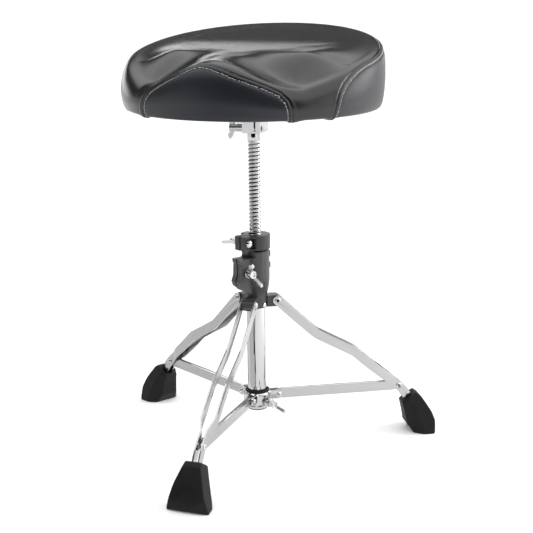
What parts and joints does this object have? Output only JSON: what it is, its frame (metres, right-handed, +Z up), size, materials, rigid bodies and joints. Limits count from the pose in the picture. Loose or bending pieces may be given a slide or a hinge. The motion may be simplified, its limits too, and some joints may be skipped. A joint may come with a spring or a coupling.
{
  "type": "drum throne",
  "caption": "Drum throne with a saddle seat on a threaded height-adjusting post and a folding, double-braced tripod base with rubber feet.",
  "frame": {"origin": "on the floor, in the middle of the throne's bounding box; the column stands 59 mm behind it", "axes": "+Z up along the column; -Y towards the nose of the seat and the front leg; +X to the sitter's left when facing -Y"},
  "size_m": [0.5884, 0.527, 0.727],
  "materials": {
    "chrome": "polished chrome plate on steel and die-cast parts",
    "black_casting": "satin black powder coat over cast alloy",
    "nylon": "moulded black nylon",
    "zinc_steel": "bright zinc plate",
    "vinyl": "black upholstery vinyl with a fine grain and pale top stitching",
    "foam": "moulded polyurethane foam",
    "plywood": "bare birch plywood",
    "dust_cloth": "black non-woven dust cloth",
    "rubber": "satin black moulded rubber"
  },
  "bodies": {
    "base": {"base_tube": "chrome", "tube_cap": "nylon", "leg_bracket": "black_casting", "thread_insert": "nylon", "bracket_rivets": "zinc_steel", "leg_pins": "zinc_steel", "collar_washer": "chrome", "collar_nut": "zinc_steel"},
    "collar_wing": {"collar_wing_bolt": "chrome"},
    "rod_guide": {"rod_bush": "nylon"},
    "rod": {"threaded_rod": "chrome", "rod_clip": "zinc_steel"},
    "seat": {"seat_cover": "vinyl", "seat_foam": "foam", "seat_board": "plywood", "dust_cover": "dust_cloth", "seat_clamp": "chrome", "clamp_bolts": "zinc_steel", "tee_nuts": "zinc_steel"},
    "seat_wing": {"seat_wing_bolt": "chrome"},
    "memory_lock": {"memory_clamp": "black_casting", "memory_bolt": "chrome", "memory_washer": "zinc_steel"},
    "memory_wing": {"memory_wing_nut": "chrome"},
    "hub": {"lower_hub": "chrome", "hub_ring": "rubber", "hub_pins": "zinc_steel"},
    "hub_wing": {"hub_wing_bolt": "chrome"},
    "leg_1": {"leg_1_left": "chrome", "leg_1_right": "chrome", "leg_1_rivets": "zinc_steel", "leg_1_spacer": "zinc_steel", "foot_1": "rubber"},
    "brace_1": {"brace_1": "chrome"},
    "leg_2": {"leg_2_left": "chrome", "leg_2_right": "chrome", "leg_2_rivets": "zinc_steel", "leg_2_spacer": "zinc_steel", "foot_2": "rubber"},
    "brace_2": {"brace_2": "chrome"},
    "leg_3": {"leg_3_left": "chrome", "leg_3_right": "chrome", "leg_3_rivets": "zinc_steel", "leg_3_spacer": "zinc_steel", "foot_3": "rubber"},
    "brace_3": {"brace_3": "chrome"}
  },
  "joints": [
    {"name": "rod_spin", "type": "hinge", "parent": "rod_guide", "child": "rod", "pos_m": [0, 0.059, 0], "axis": [0, 0, 1], "range_deg": [-8150, 2170]},
    {"name": "rod_lift", "type": "slide", "parent": "base", "child": "rod_guide", "axis": [0, 0, 1], "range_m": [-0.147, 0.039]},
    {"name": "seat_swivel", "type": "hinge", "parent": "rod", "child": "seat", "pos_m": [0, 0.059, 0], "axis": [0, 0, 1], "continuous": true},
    {"name": "seat_wing_turn", "type": "hinge", "parent": "seat", "child": "seat_wing", "pos_m": [0, 0.0434, 0.563], "axis": [-1, 0, 0], "continuous": true},
    {"name": "memory_lock_turn", "type": "hinge", "parent": "base", "child": "memory_lock", "pos_m": [0, 0.059, 0], "axis": [0, 0, 1], "continuous": true},
    {"name": "memory_wing_turn", "type": "hinge", "parent": "memory_lock", "child": "memory_wing", "pos_m": [-0.01135, 0.03673, 0.3665], "axis": [-0.891, 0.454, 0], "continuous": true},
    {"name": "collar_wing_turn", "type": "hinge", "parent": "base", "child": "collar_wing", "pos_m": [-0.01378, 0.03695, 0.315], "axis": [0.848, -0.5299, 0], "continuous": true},
    {"name": "hub_slide", "type": "slide", "parent": "base", "child": "hub", "axis": [0, 0, 1], "range_m": [0, 0.1125]},
    {"name": "hub_wing_turn", "type": "hinge", "parent": "hub", "child": "hub_wing", "pos_m": [0, 0.059, 0.08], "axis": [0.866, -0.5, 0], "continuous": true},
    {"name": "leg_1_fold", "type": "hinge", "parent": "base", "child": "leg_1", "pos_m": [0, 0.023, 0.261], "axis": [1, 0, 0], "range_deg": [0, 44]},
    {"name": "leg_2_fold", "type": "hinge", "parent": "base", "child": "leg_2", "pos_m": [0.03118, 0.077, 0.261], "axis": [-0.5, 0.866, 0], "range_deg": [0, 44.05]},
    {"name": "leg_3_fold", "type": "hinge", "parent": "base", "child": "leg_3", "pos_m": [-0.03118, 0.077, 0.261], "axis": [-0.5, -0.866, 0], "range_deg": [0, 44.05]},
    {"name": "brace_1_fold", "type": "hinge", "parent": "hub", "child": "brace_1", "pos_m": [0, 0.022, 0.087], "axis": [1, 0, 0], "range_deg": [0, 80.25]},
    {"name": "brace_2_fold", "type": "hinge", "parent": "hub", "child": "brace_2", "pos_m": [0.03204, 0.0775, 0.087], "axis": [-0.5, 0.866, 0], "range_deg": [0, 80.25]},
    {"name": "brace_3_fold", "type": "hinge", "parent": "hub", "child": "brace_3", "pos_m": [-0.03204, 0.0775, 0.087], "axis": [-0.5, -0.866, 0], "range_deg": [0, 80.25]}
  ],
  "couplings": [
    {"joint": "rod_spin", "follows": "rod_lift", "rad_per_m": 966.64},
    {"joint": "hub_slide", "follows": "leg_1_fold", "m_per_rad": 0.14631},
    {"joint": "brace_1_fold", "follows": "leg_1_fold", "ratio": 1.8215},
    {"joint": "brace_2_fold", "follows": "leg_1_fold", "ratio": 1.8215},
    {"joint": "leg_2_fold", "follows": "leg_1_fold", "ratio": 1},
    {"joint": "brace_3_fold", "follows": "leg_1_fold", "ratio": 1.8215},
    {"joint": "leg_3_fold", "follows": "leg_1_fold", "ratio": 1}
  ]
}
